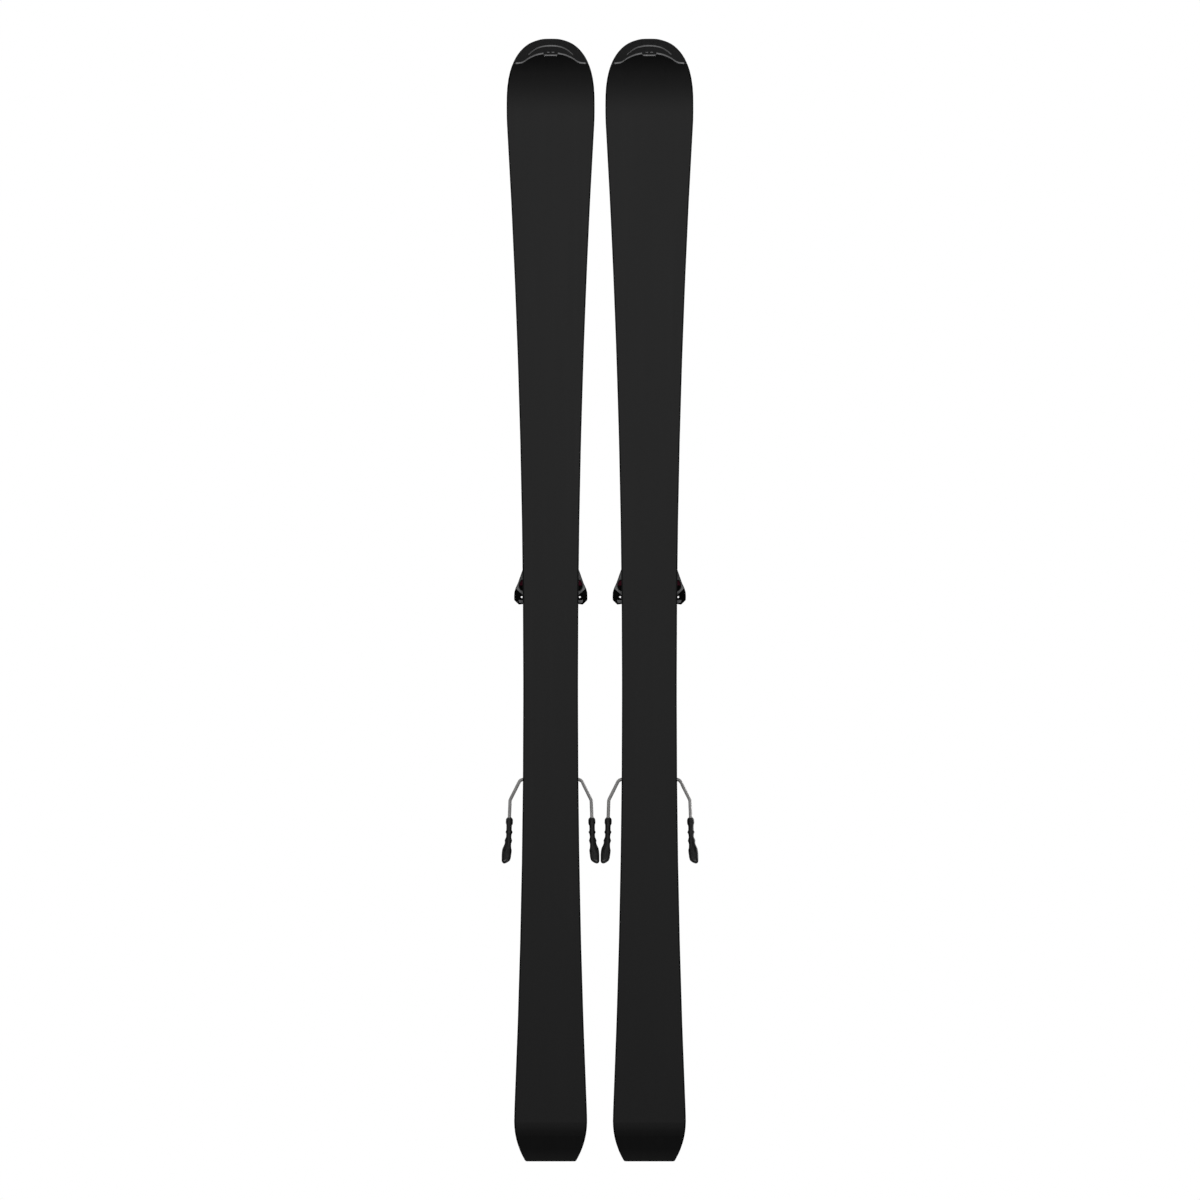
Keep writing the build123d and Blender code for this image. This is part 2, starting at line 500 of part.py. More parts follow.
def heel_cup():
    """The curved cup behind the boot heel, with a lip above and a step-in spur below."""
    length, middle = CUP_FRONT_Y - CUP_REAR_Y, (CUP_FRONT_Y + CUP_REAR_Y) / 2
    block = Pos(0, middle, CUP_BOTTOM) * extrude(RectangleRounded(2 * CUP_HALF, length, 5),
                                                 CUP_TOP - CUP_BOTTOM)
    heel_y = BOOT_HEEL_Y + BOOT_HEEL_RADIUS
    heel = rod_z(BOOT_HEEL_RADIUS + 0.5, 30, CUP_LIP_Z, 0, heel_y)
    above_lip = rod_z(BOOT_HEEL_RADIUS - 9, CUP_LIP_Z - 1, CUP_TOP + 1, 0, heel_y)
    spur = box(-SPUR_HALF, SPUR_HALF, CUP_REAR_Y, SPUR_FRONT_Y, SPUR_BOTTOM, SPUR_TOP)
    web = box(-SPUR_HALF, SPUR_HALF, CUP_REAR_Y, BOOT_HEEL_Y - 4, 40, CUP_BOTTOM + 2)
    return block - heel - above_lip + spur + web


def heel_setting_screw():
    flange = rod_y(HEEL_TUNNEL_RADIUS - 0.7, -356, -352, 0, HEEL_SCREW_Z)
    shank = rod_y(HEEL_SCREW_RADIUS, -383, -340, 0, HEEL_SCREW_Z)
    head = rod_y(SETTING_HEAD_RADIUS, -388, -382.5, 0, HEEL_SCREW_Z)
    return flange + shank + head - driver_slot(-389, -386, HEEL_SCREW_Z)


def heel_lever():
    """Two arms on the housing's trunnions, joined by a dished handle that a pole presses."""
    y, z = LEVER_PIVOT
    arm_end = -LEVER_LENGTH
    arm = side_plate([(3, -8), (3, 8), (-30, 5), (arm_end, 4), (arm_end, -4), (-30, -5)],
                     LEVER_ARM_IN, LEVER_ARM_OUT)
    arm += rod_x(9.0, LEVER_ARM_IN, LEVER_ARM_OUT, 0, 0)
    arm -= rod_x(TRUNNION_RADIUS + RUNNING_GAP, 20, 40, 0, 0)
    handle = side_plate([(-48, -4), (-48, 4), (arm_end - 4, 5), (arm_end - 8, 1),
                         (arm_end - 4, -4)], -LEVER_ARM_OUT, LEVER_ARM_OUT)
    dish = Pos(0, -74, 15) * Sphere(15)
    lever = both_sides(arm) + handle - dish
    return Pos(0, y, z) * turn_about_x(lever, (0, 0), -LEVER_TILT)


# ---------------------------------------------------------------- brake

def arm_plane():
    """Plane of the lowered brake arms: local x is X, local y runs back and down."""
    drop = radians(ARM_DROP_ANGLE)
    return Plane(origin=(0, *BRAKE_PIVOT), x_dir=(1, 0, 0), z_dir=(0, sin(drop), -cos(drop)))


def brake_arm():
    route = FilletPolyline(*ARM_ROUTE, radius=ARM_BENDS)
    start = Plane(origin=route @ 0, z_dir=route % 0)
    wire = sweep(start * Circle(ARM_WIRE_RADIUS), path=route)
    return arm_plane() * wire


def brake_foot():
    face = make_face(Polyline(*FOOT_OUTER, *FOOT_INNER, close=True))
    foot = arm_plane() * extrude(face, FOOT_HALF_THICK, both=True)
    return foot - brake_arm()


def brake_base():
    pivot_y = BRAKE_PIVOT[0]
    half, rear_y, front_y = BRAKE_PLATE
    plate = box(-half, half, rear_y, front_y, SHOE_TOP, BRAKE_PLATE_TOP)
    lug = side_plate([(pivot_y - 8, SHOE_TOP), (pivot_y + 8, SHOE_TOP), (pivot_y + 5, 37),
                      (pivot_y - 5, 37)], 23, 30)
    front_lug = side_plate([(-201, SHOE_TOP), (-191, SHOE_TOP), (-191.3, 33), (-193, 34.6),
                            (-197, 34.6), (-199.5, 33)], 12.5, 18)
    holes = [rod_x(ARM_WIRE_RADIUS + WIRE_GAP, -40, 40, *BRAKE_PIVOT),
             rod_x(PEDAL_PIN_RADIUS, -40, 40, *PEDAL_HINGE)]
    return plate + both_sides(lug) + both_sides(front_lug) - holes


def brake_pedal():
    """The pad under the boot heel, drawn pressed flat and then raised to its free position."""
    hinge_y, hinge_z = PEDAL_HINGE
    face = RectangleRounded(2 * PEDAL_HALF, PEDAL_LENGTH, 6)
    pad = Pos(0, -230.5, PEDAL_BOTTOM) * extrude(face, PEDAL_TOP - PEDAL_BOTTOM)
    neck = box(-12, 12, -201, hinge_y + PEDAL_KNUCKLE, hinge_z, PEDAL_TOP)
    knuckle = rod_x(PEDAL_KNUCKLE, -12, 12, *PEDAL_HINGE)
    ribs = [box(-15, 15, y, y + 1.5, PEDAL_TOP - 0.6, PEDAL_TOP + 1) for y in PEDAL_RIBS]
    pin_hole = rod_x(PEDAL_PIN_RADIUS + RUNNING_GAP, -20, 20, *PEDAL_HINGE)
    pedal = pad + neck + knuckle - ribs - pin_hole
    return turn_about_x(pedal, PEDAL_HINGE, -PEDAL_LIFT)


# ---------------------------------------------------------------- all pieces of one ski

def pair(shape):
    return [shape, mirror(shape, about=Plane.YZ)]


wing_on_right = toe_wing()
pieces = ski_layers()
pieces.update({
    "binding_rail": binding_rail(),
    "rail_screws": rail_screws(),
    "toe_body": toe_body(),
    "toe_wing_left": mirror(wing_on_right, about=Plane.YZ),
    "toe_wing_right": wing_on_right,
    "wing_pins": wing_pins(),
    "toe_spring": coil_spring(6.8, 3.8, 37, 62, TOE_SCREW_Z, 7),
    "toe_setting_screw": toe_setting_screw(),
    "toe_setting_pointer": toe_setting_pointer(),
    "afd_slide_plate": afd_slide_plate(),
    "heel_carriage": heel_carriage(),
    "heel_pins": heel_pins(),
    "length_lock_lever": length_lock_lever(),
    "heel_housing": heel_housing(),
    "heel_cup": heel_cup(),
    "heel_spring": coil_spring(9.0, 5.0, -351.5, -307, HEEL_SCREW_Z, 9),
    "heel_setting_screw": heel_setting_screw(),
    "heel_lever": heel_lever(),
    "brake_base": brake_base(),
    "brake_arms": pair(brake_arm()),
    "brake_feet": pair(brake_foot()),
    "brake_pedal": brake_pedal(),
})

for side, centre_x in (("left", -SKI_SPACING / 2), ("right", SKI_SPACING / 2)):
    for name, shape in pieces.items():
        solids = [solid for item in (shape if isinstance(shape, list) else [shape])
                  for solid in item.solids()]
        placed = [solid.moved(Location((centre_x, 0, BASE_HEIGHT))) for solid in solids]
        node = placed[0] if len(placed) == 1 else Compound(children=placed)
        export_step(node, f"parts/{side}_{name}.step")
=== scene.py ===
"""Looks for a pair of alpine skis with bindings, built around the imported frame, in metres.

Each ski is drawn in its own frame: X = 0 on its centre line, Y = 0 at its middle and Z = 0 on
its running base. The frame says where that is, and every drawing is shifted there.
"""
from math import cos, pi, radians, sin, sqrt, tau

import bmesh
import bpy
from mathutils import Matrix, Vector

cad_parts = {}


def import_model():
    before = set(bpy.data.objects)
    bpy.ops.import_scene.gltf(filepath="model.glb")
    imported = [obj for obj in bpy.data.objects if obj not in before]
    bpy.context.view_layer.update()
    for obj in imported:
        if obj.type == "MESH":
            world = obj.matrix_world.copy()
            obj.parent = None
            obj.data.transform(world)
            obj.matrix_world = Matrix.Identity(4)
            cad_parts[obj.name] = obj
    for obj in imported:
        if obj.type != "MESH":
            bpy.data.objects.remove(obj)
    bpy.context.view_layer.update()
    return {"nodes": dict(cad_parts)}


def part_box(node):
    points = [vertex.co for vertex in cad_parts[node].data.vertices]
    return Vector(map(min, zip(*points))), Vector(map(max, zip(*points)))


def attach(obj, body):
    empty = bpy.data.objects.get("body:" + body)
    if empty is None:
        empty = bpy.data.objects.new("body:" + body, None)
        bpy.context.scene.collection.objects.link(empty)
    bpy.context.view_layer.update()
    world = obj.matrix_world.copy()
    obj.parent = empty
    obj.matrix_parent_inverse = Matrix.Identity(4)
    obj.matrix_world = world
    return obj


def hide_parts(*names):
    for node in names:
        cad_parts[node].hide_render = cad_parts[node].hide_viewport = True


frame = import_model()

MM = 0.001
SIDES = ("left", "right")

# Bends of the running base at the tip
TIP_BEND_Y, TIP_BEND_RADIUS = 0.682, 0.1836

# Brake arm plane: the feet hang back and down from this pivot
BRAKE_PIVOT = Vector((0, -0.254, 0.0315))
ARM_DROP = radians(35)

# Height of the wings' underside above the running base
WING_UNDERSIDE = 0.0474

SMOOTH_ANGLE = radians(32)  # edges sharper than this stay crisp


# ---------------------------------------------------------------- places

def ski_origin(side):
    """Middle of a ski's running base, in the shared frame."""
    low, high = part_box(f"{side}_binding_rail")
    sheet_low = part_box(f"{side}_base_sheet")[0]
    return Vector(((low.x + high.x) / 2, 0, sheet_low.z))


def base_height(y):
    """Height of the running base's underside where the tip bends up."""
    reach = max(y - TIP_BEND_Y, 0)
    return TIP_BEND_RADIUS - sqrt(TIP_BEND_RADIUS ** 2 - reach ** 2)


# ---------------------------------------------------------------- materials

class Paint:
    """A procedural material: a Principled shader and short names for the nodes that feed it."""

    def __init__(self, name, colour, roughness, metallic=0.0, specular=0.5, coat=0.0):
        self.material = bpy.data.materials.new(name)
        self.material.use_nodes = True
        self.tree = self.material.node_tree
        self.shader = self.tree.nodes["Principled BSDF"]
        self.set("Base Color", (*colour, 1))
        self.set("Roughness", roughness)
        self.set("Metallic", metallic)
        self.set("Specular IOR Level", specular)
        self.set("Coat Weight", coat)
        self.set("Coat Roughness", 0.12)
        self.place = self.node("ShaderNodeTexCoord").outputs["Object"]
        self.normal = None

    def node(self, kind, **settings):
        made = self.tree.nodes.new(kind)
        for key, value in settings.items():
            setattr(made, key, value)
        return made

    def link(self, source, target):
        self.tree.links.new(source, target)

    def set(self, socket, value):
        self.shader.inputs[socket].default_value = value

    def feed(self, socket, source):
        self.link(source, self.shader.inputs[socket])

    def math(self, operation, first, second=0.0, third=0.0):
        made = self.node("ShaderNodeMath", operation=operation)
        for slot, value in zip(made.inputs, (first, second, third)):
            if isinstance(value, (int, float)):
                slot.default_value = value
            else:
                self.link(value, slot)
        return made.outputs[0]

    def xyz(self):
        split = self.node("ShaderNodeSeparateXYZ")
        self.link(self.place, split.inputs[0])
        return split.outputs

    def from_centre_line(self, x):
        """Signed distance out from the centre line of whichever ski is nearer."""
        return self.math("SUBTRACT", self.math("ABSOLUTE", x), abs(ski_origin("right").x))

    def stretched(self, scale, turn=(0, 0, 0)):
        mapping = self.node("ShaderNodeMapping")
        mapping.inputs["Scale"].default_value = scale
        mapping.inputs["Rotation"].default_value = turn
        self.link(self.place, mapping.inputs["Vector"])
        return mapping.outputs[0]

    def noise(self, scale, detail=3.0, turn=(0, 0, 0)):
        """Noise whose scale is features per metre along X, Y and Z."""
        made = self.node("ShaderNodeTexNoise")
        made.inputs["Scale"].default_value = 1.0
        made.inputs["Detail"].default_value = detail
        self.link(self.stretched(scale, turn), made.inputs["Vector"])
        return made.outputs["Fac"]

    def lines(self, per_metre, turn=(0, 0, 0), distortion=0.0):
        """Light and dark lines, so many of both in a metre along X, before they are turned."""
        made = self.node("ShaderNodeTexWave", bands_direction="X")
        made.inputs["Scale"].default_value = per_metre / 20 * pi
        made.inputs["Distortion"].default_value = distortion
        self.link(self.stretched((1, 1, 1), turn), made.inputs["Vector"])
        return made.outputs["Fac"]

    def remap(self, source, low, high, from_low=0.3, from_high=0.7):
        made = self.node("ShaderNodeMapRange")
        made.inputs["From Min"].default_value = from_low
        made.inputs["From Max"].default_value = from_high
        made.inputs["To Min"].default_value = low
        made.inputs["To Max"].default_value = high
        self.link(source, made.inputs["Value"])
        return made.outputs[0]

    def band(self, source, centre, half_width, soft):
        """1 inside a band of values round a centre, fading to 0 over a soft margin."""
        distance = self.math("ABSOLUTE", self.math("SUBTRACT", source, centre))
        return self.remap(distance, 1.0, 0.0, half_width, half_width + soft)

    def blend(self, share, first, second):
        made = self.node("ShaderNodeMix", data_type="RGBA")
        self.link(share, made.inputs["Factor"])
        for slot, value in zip(("A", "B"), (first, second)):
            socket = [s for s in made.inputs if s.name == slot and s.type == "RGBA"][0]
            if isinstance(value, tuple):
                socket.default_value = (*value, 1)
            else:
                self.link(value, socket)
        return [s for s in made.outputs if s.type == "RGBA"][0]

    def bump(self, height, distance, strength=1.0):
        made = self.node("ShaderNodeBump")
        made.inputs["Strength"].default_value = strength
        made.inputs["Distance"].default_value = distance
        self.link(height, made.inputs["Height"])
        if self.normal:
            self.link(self.normal, made.inputs["Normal"])
        self.normal = made.outputs[0]
        self.feed("Normal", self.normal)


def shade(colour, factor):
    return tuple(channel * factor for channel in colour)


def moulded(name, colour, roughness, grain=1400, depth=0.00006, specular=0.5, scuffs=0.25):
    """Injection-moulded plastic: spark-eroded grain, faint flow marks and light scuffs."""
    paint = Paint(name, colour, roughness, specular=specular)
    cloud = paint.noise((9, 9, 9), 4)
    scuff = paint.noise((260, 60, 260), 6, (0.3, 0.5, 0.8))
    tone = paint.blend(paint.remap(cloud, 0, 1), shade(colour, 0.82), shade(colour, 1.2))
    wear_and_sheen = paint.math("MULTIPLY", paint.remap(scuff, 0, 1, 0.62, 0.8), scuffs)
    paint.feed("Base Color", paint.blend(wear_and_sheen, tone, tuple(c * 1.6 + 0.012 for c in colour)))
    paint.feed("Roughness", paint.remap(scuff, roughness - 0.06, roughness + 0.1))
    paint.bump(paint.noise((grain, grain, grain), 2), depth)
    return paint.material


def steel(name, colour, roughness, brush=(40, 900, 900), metallic=1.0):
    """Metal with fine marks drawn out along one direction."""
    paint = Paint(name, colour, roughness, metallic=metallic)
    marks = paint.noise(brush, 4)
    cloud = paint.noise((30, 30, 30), 3)
    tone = paint.blend(paint.remap(cloud, 0, 1), shade(colour, 0.8), shade(colour, 1.12))
    paint.feed("Base Color", tone)
    paint.feed("Roughness", paint.remap(marks, max(roughness - 0.1, 0.05), roughness + 0.12))
    paint.bump(marks, 0.00002, 0.6)
    return paint.material


def edge_material():
    """Edge steel: bright along the side, with painted shade on the running face, which is painted near
    black as the photo shows it.
    """
    paint = Paint("edge_steel", (0.4, 0.4, 0.41), 0.34, metallic=1.0)
    facing = paint.node("ShaderNodeSeparateXYZ")
    paint.link(paint.node("ShaderNodeTexCoord").outputs["Normal"], facing.inputs[0])
    # painted shade: faces turned down blend to near black, standing in for the dark the steel's running
    # face shows from below
    under = paint.remap(paint.math("ABSOLUTE", facing.outputs["Z"]), 0, 1, 0.4, 0.6)
    marks = paint.noise((900, 14, 900), 4)
    bright = paint.blend(paint.remap(marks, 0, 1), (0.33, 0.33, 0.34), (0.48, 0.48, 0.49))
    paint.feed("Base Color", paint.blend(under, bright, (0.006, 0.006, 0.0062)))
    paint.feed("Roughness", paint.math("MULTIPLY_ADD", under, 0.16, paint.remap(marks, 0.26, 0.42)))
    paint.bump(marks, 0.00002, 0.6)
    return paint.material


def running_base_material():
    """Sintered base: crossed stone-ground lines and faint streaks along the ski.

    To follow the photo's shading, it is duller next to the tip cap and shinier at the tail's end.
    """
    colour = (0.0045, 0.0045, 0.0046)
    paint = Paint("running_base", colour, 0.56, specular=0.25)
    streaks = paint.noise((160, 3.5, 160), 5)
    cloud = paint.noise((14, 3, 14), 3)
    tone = paint.blend(paint.remap(cloud, 0, 1), shade(colour, 0.85), shade(colour, 1.15))
    share = paint.remap(streaks, 0, 1, 0.45, 0.75)
    paint.feed("Base Color", paint.blend(share, tone, shade(colour, 1.25)))
    paint.feed("Roughness", paint.remap(streaks, 0.555, 0.57))
    along = paint.xyz()["Y"]
    shinier = paint.remap(along, 0.20, 0.0, -0.797, -0.782)
    duller = paint.remap(along, 0.0, 0.15, 0.750, 0.776)
    shine = paint.math("SUBTRACT", paint.math("ADD", shinier, 0.25), duller)
    paint.feed("Specular IOR Level", shine)
    crossed = paint.math("ADD", paint.lines(1100, (0, 0, 0.10), 0.6),
                         paint.lines(900, (0, 0, -0.13), 0.6))
    broken = paint.math("MULTIPLY", crossed, paint.noise((700, 90, 700), 3))
    paint.bump(broken, 0.000012, 0.5)
    return paint.material


DARK_RED, PALE_GREY, DIM_GREY = (0.16, 0.006, 0.008), (0.22, 0.22, 0.225), (0.055, 0.055, 0.058)
FLASHES = [  # place along the ski, half width and colour
    (0.500, 0.030, DARK_RED), (0.548, 0.004, PALE_GREY), (0.575, 0.012, DIM_GREY),
    (-0.560, 0.022, DARK_RED), (-0.596, 0.003, PALE_GREY), (0.300, 0.006, DIM_GREY),
    (0.325, 0.006, DIM_GREY), (0.350, 0.006, DIM_GREY),
]
FLASH_LEAN = 1.9


def topsheet_material():
    """Satin black sheet with a fine twill and slanting flashes in dark red and grey."""
    colour = (0.012, 0.012, 0.0135)
    paint = Paint("topsheet", colour, 0.36, specular=0.3, coat=0.12)
    xyz = paint.xyz()
    across = paint.from_centre_line(xyz["X"])
    along = xyz["Y"]
    twill = paint.math("MULTIPLY", paint.lines(420, (0, 0, 0.785)),
                       paint.lines(420, (0, 0, -0.785)))
    tip_share = paint.remap(paint.math("ABSOLUTE", along), 0.0, 1.0, 0.25, 0.75)
    tone = paint.blend(paint.math("MULTIPLY", twill, tip_share), colour, (0.022, 0.022, 0.0245))
    slanted = paint.math("MULTIPLY_ADD", across, FLASH_LEAN, along)
    for centre, half, tint in FLASHES:
        tone = paint.blend(paint.band(slanted, centre, half, 0.0006), tone, tint)
    flecks = paint.remap(paint.noise((2500, 2500, 2500), 1), 0, 0.25, 0.62, 0.7)
    paint.feed("Base Color", paint.blend(flecks, tone, (0.1, 0.1, 0.105)))
    scuffs = paint.noise((300, 40, 300), 6, (0, 0, 0.35))
    paint.feed("Roughness", paint.remap(scuffs, 0.29, 0.43))
    paint.bump(twill, 0.000008, 0.35)
    return paint.material


def core_wood_material():
    colour = (0.52, 0.35, 0.19)
    paint = Paint("core_wood", colour, 0.65, specular=0.3)
    grain = paint.noise((420, 9, 420), 5)
    strips = paint.lines(50)
    tone = paint.blend(paint.remap(grain, 0, 1), shade(colour, 0.6), shade(colour, 1.15))
    share = paint.remap(strips, 0, 0.5, 0.4, 0.6)
    paint.feed("Base Color", paint.blend(share, tone, (0.36, 0.22, 0.11)))
    paint.bump(grain, 0.0001, 0.5)
    return paint.material


def sidewall_material():
    """Plastic sidewall with the long marks that the milling cutter leaves."""
    colour = (0.011, 0.011, 0.011)
    paint = Paint("sidewall", colour, 0.36, specular=0.45)
    marks = paint.noise((900, 12, 1500), 4)
    tone = paint.blend(paint.remap(marks, 0, 1), shade(colour, 0.8), shade(colour, 1.5))
    paint.feed("Base Color", tone)
    paint.feed("Roughness", paint.remap(marks, 0.3, 0.46))
    paint.bump(marks, 0.00004, 0.6)
    return paint.material


def wing_material():
    """Black wing. Its underside is a matte pad behind a grey frame round the pocket, with a painted
    highlight in a paler band along the frame's edge by the pad.
    """
    colour = (0.012, 0.012, 0.0125)
    paint = Paint("wing_plastic", colour, 0.4)
    xyz = paint.xyz()
    out = paint.math("ABSOLUTE", paint.from_centre_line(xyz["X"]))
    height = ski_origin("left").z + WING_UNDERSIDE
    underside = paint.remap(xyz["Z"], 1, 0, height, height + 0.0004)
    ahead = paint.math("MULTIPLY_ADD", out, -0.913, paint.math("ADD", xyz["Y"], 0.02976))
    pad = paint.math("MULTIPLY", underside, paint.remap(ahead, 1, 0, -0.0003, 0.0003))
    grey = paint.math("MULTIPLY", underside, paint.remap(ahead, 0, 1, -0.0003, 0.0003))
    # painted highlight: the grey frame is paler in a band along its edge by the pad, standing for light
    # caught on a ridge there
    painted_highlight_band = paint.remap(ahead, 1, 0, 0.003, 0.006)
    cloud = paint.noise((40, 40, 40), 3)
    tone = paint.blend(paint.remap(cloud, 0, 1), shade(colour, 0.8), shade(colour, 1.25))
    tone = paint.blend(grey, tone, paint.blend(painted_highlight_band, (0.035, 0.0355, 0.0365), (0.075, 0.075, 0.077)))
    paint.feed("Base Color", paint.blend(pad, tone, (0.0015, 0.0015, 0.0015)))
    roughness = paint.remap(cloud, 0.36, 0.46)
    paint.feed("Roughness", paint.math("MULTIPLY_ADD", pad, 0.42, roughness))
    specular = paint.math("MULTIPLY_ADD", pad, -0.42, 0.5)
    paint.feed("Specular IOR Level", specular)
    paint.bump(paint.noise((1500, 1500, 1500), 2), 0.00005)
    return paint.material


def foot_material():
    """Black foot with a painted highlight along the middle of the grip and in the spade's dish, as in
    the photo, broken up by scuffs.
    """
    colour = (0.006, 0.006, 0.006)
    paint = Paint("foot_plastic", colour, 0.42)
    xyz = paint.xyz()
    out = paint.math("ABSOLUTE", paint.from_centre_line(xyz["X"]))
    # painted highlight: a paler band down the middle of the grip, wider in the spade's dish, mottled by
    # scuff noise
    spade = paint.remap(xyz["Y"], 1, 0, -0.360, -0.350)
    middle = paint.math("MULTIPLY_ADD", spade, 0.0031, 0.0591)
    off = paint.math("ABSOLUTE", paint.math("SUBTRACT", out, middle))
    reach = paint.math("MULTIPLY_ADD", spade, 0.0022, 0.0014)
    share = paint.math("SUBTRACT", 1.0, paint.math("DIVIDE", off, reach))
    scuff = paint.noise((500, 120, 500), 5)
    wear_and_sheen = paint.math("MULTIPLY", paint.remap(share, 0, 1, -0.35, 0.35), paint.remap(scuff, 0.55, 1.0))
    paint.feed("Base Color", paint.blend(wear_and_sheen, colour, (0.034, 0.034, 0.034)))
    paint.feed("Roughness", paint.remap(scuff, 0.36, 0.5))
    paint.bump(paint.noise((1300, 1300, 1300), 2), 0.00006)
    return paint.material


MATERIALS = {
    "running_base": running_base_material(),
    "edge_steel": edge_material(),
    "laminate": steel("laminate", (0.55, 0.55, 0.56), 0.4, (900, 30, 900)),
    "core_wood": core_wood_material(),
    "sidewall_plastic": sidewall_material(),
    "topsheet_plastic": topsheet_material(),
    "cap_plastic": moulded("cap_plastic", (0.017, 0.017, 0.0175), 0.42, 1800, 0.00003, specular=0.3),
    "rail_plastic": moulded("rail_plastic", (0.014, 0.014, 0.015), 0.5, 1300, 0.00007),
    "fastener_steel": steel("fastener_steel", (0.5, 0.5, 0.51), 0.28),
    "spring_steel": steel("spring_steel", (0.7, 0.69, 0.68), 0.36, (600, 60, 600), metallic=0.4),
    "housing_plastic": moulded("housing_plastic", (0.013, 0.013, 0.0135), 0.42, 1500, 0.00005),
    "wing_plastic": wing_material(),
    "pointer_plastic": moulded("pointer_plastic", (0.72, 0.42, 0.03), 0.35, 900, 0.00003),
    "slide_plastic": moulded("slide_plastic", (0.24, 0.24, 0.25), 0.28, 700, 0.00003, scuffs=0.5),
    "accent_plastic": moulded("accent_plastic", (0.13, 0.006, 0.01), 0.35, 1200, 0.00004),
    "cup_plastic": moulded("cup_plastic", (0.010, 0.010, 0.0105), 0.46, 1200, 0.00007),
    "lever_plastic": moulded("lever_plastic", (0.012, 0.012, 0.0125), 0.38, 1500, 0.00005),
    "foot_plastic": foot_material(),
    "pedal_plastic": moulded("pedal_plastic", (0.02, 0.02, 0.021), 0.5, 1100, 0.00009),
}
# painted highlights: the tip cap's rim and ridge are pale grey, standing for the light they catch
PAINTED_RIM_HIGHLIGHT = moulded("cap_rim_painted_highlight", (0.19, 0.19, 0.193), 0.45, 900, 0.00001, scuffs=0.1)
PAINTED_RIDGE_HIGHLIGHT = moulded("cap_ridge_painted_highlight", (0.15, 0.15, 0.152), 0.45, 900, 0.00001, scuffs=0.1)
TRIMS = {
    "red": moulded("pocket_red", (0.07, 0.0015, 0.014), 0.6, 1200, 0.00004, specular=0.1, scuffs=0),
    "black": moulded("pocket_black", (0.001, 0.001, 0.001), 0.8, 1200, 0.00004, specular=0.1, scuffs=0),
    # painted highlight: pale grey for the glint on the wings' rear edge
    "pale": moulded("wear_pad", (0.14, 0.14, 0.145), 0.5, 1200, 0.00004),
    "accent": MATERIALS["accent_plastic"],
    "gloss": moulded("cover_gloss", (0.006, 0.006, 0.0065), 0.16, 700, 0.00001),
    "white": moulded("scale_white", (0.55, 0.55, 0.54), 0.4, 900, 0.00002),
    "yellow": MATERIALS["pointer_plastic"],
}


# ---------------------------------------------------------------- mesh helpers

def smooth_by_angle(mesh, angle):
    """Smooth faces, with edges sharper than the angle kept crisp."""
    edit = bmesh.new()
    edit.from_mesh(mesh)
    for face in edit.faces:
        face.smooth = True
    for edge in edit.edges:
        edge.smooth = len(edge.link_faces) == 2 and edge.calc_face_angle(0.0) < angle
    edit.to_mesh(mesh)
    edit.free()


def finish_piece(edit, name, body, slot, material=None, replaces=(), angle=SMOOTH_ANGLE):
    """Turns an edit mesh into a named piece that rides on a body."""
    bmesh.ops.recalc_face_normals(edit, faces=edit.faces[:])
    mesh = bpy.data.meshes.new(name)
    edit.to_mesh(mesh)
    edit.free()
    smooth_by_angle(mesh, angle)
    piece = bpy.data.objects.new(name, mesh)
    bpy.context.scene.collection.objects.link(piece)
    mesh.materials.append(material or MATERIALS[slot])
    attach(piece, body)
    if replaces:
        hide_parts(*replaces)
    return piece


def frame_copy(node):
    """An edit mesh of a CAD node, welded and with its flat faces joined up."""
    edit = bmesh.new()
    edit.from_mesh(frame["nodes"][node].data)
    bmesh.ops.remove_doubles(edit, verts=edit.verts[:], dist=2e-6)
    bmesh.ops.dissolve_limit(edit, angle_limit=radians(0.6), verts=edit.verts[:],
                             edges=edit.edges[:])
    return edit


MOULD_ROUNDS, MOULD_KEPT, MOULD_ANGLE = 5, 0.3, radians(70)


def moulded_mesh(node, voxel):
    """A CAD node's shape with its edges rounded, as a moulding comes out of its tool."""
    source = bpy.data.meshes.new(f"{node}_source")
    edit = frame_copy(node)
    edit.to_mesh(source)
    edit.free()
    maker = bpy.data.objects.new("maker", source)
    bpy.context.scene.collection.objects.link(maker)
    remesh = maker.modifiers.new("remesh", "REMESH")
    remesh.mode = "VOXEL"
    remesh.voxel_size = voxel
    smooth = maker.modifiers.new("smooth", "SMOOTH")
    smooth.factor = 0.5
    smooth.iterations = MOULD_ROUNDS
    thin = maker.modifiers.new("thin", "DECIMATE")
    thin.ratio = MOULD_KEPT
    shape = maker.evaluated_get(bpy.context.evaluated_depsgraph_get())
    mesh = bpy.data.meshes.new_from_object(shape)
    bpy.data.objects.remove(maker)
    bpy.data.meshes.remove(source)
    return mesh


def moulded_pair(node, slot, voxel, body):
    """Replaces a CAD node on both skis by its rounded shape, which both skis share."""
    mesh = moulded_mesh(f"left_{node}", voxel)
    step = ski_origin("right") - ski_origin("left")
    for side in SIDES:
        edit = bmesh.new()
        edit.from_mesh(mesh)
        if side == "right":
            shift(edit, step)
        finish_piece(edit, f"{side}_{node}_shell", f"{side}_{body or node}", slot,
                     replaces=[f"{side}_{node}"], angle=MOULD_ANGLE)


def shift(edit, offset):
    bmesh.ops.translate(edit, vec=offset, verts=edit.verts[:])


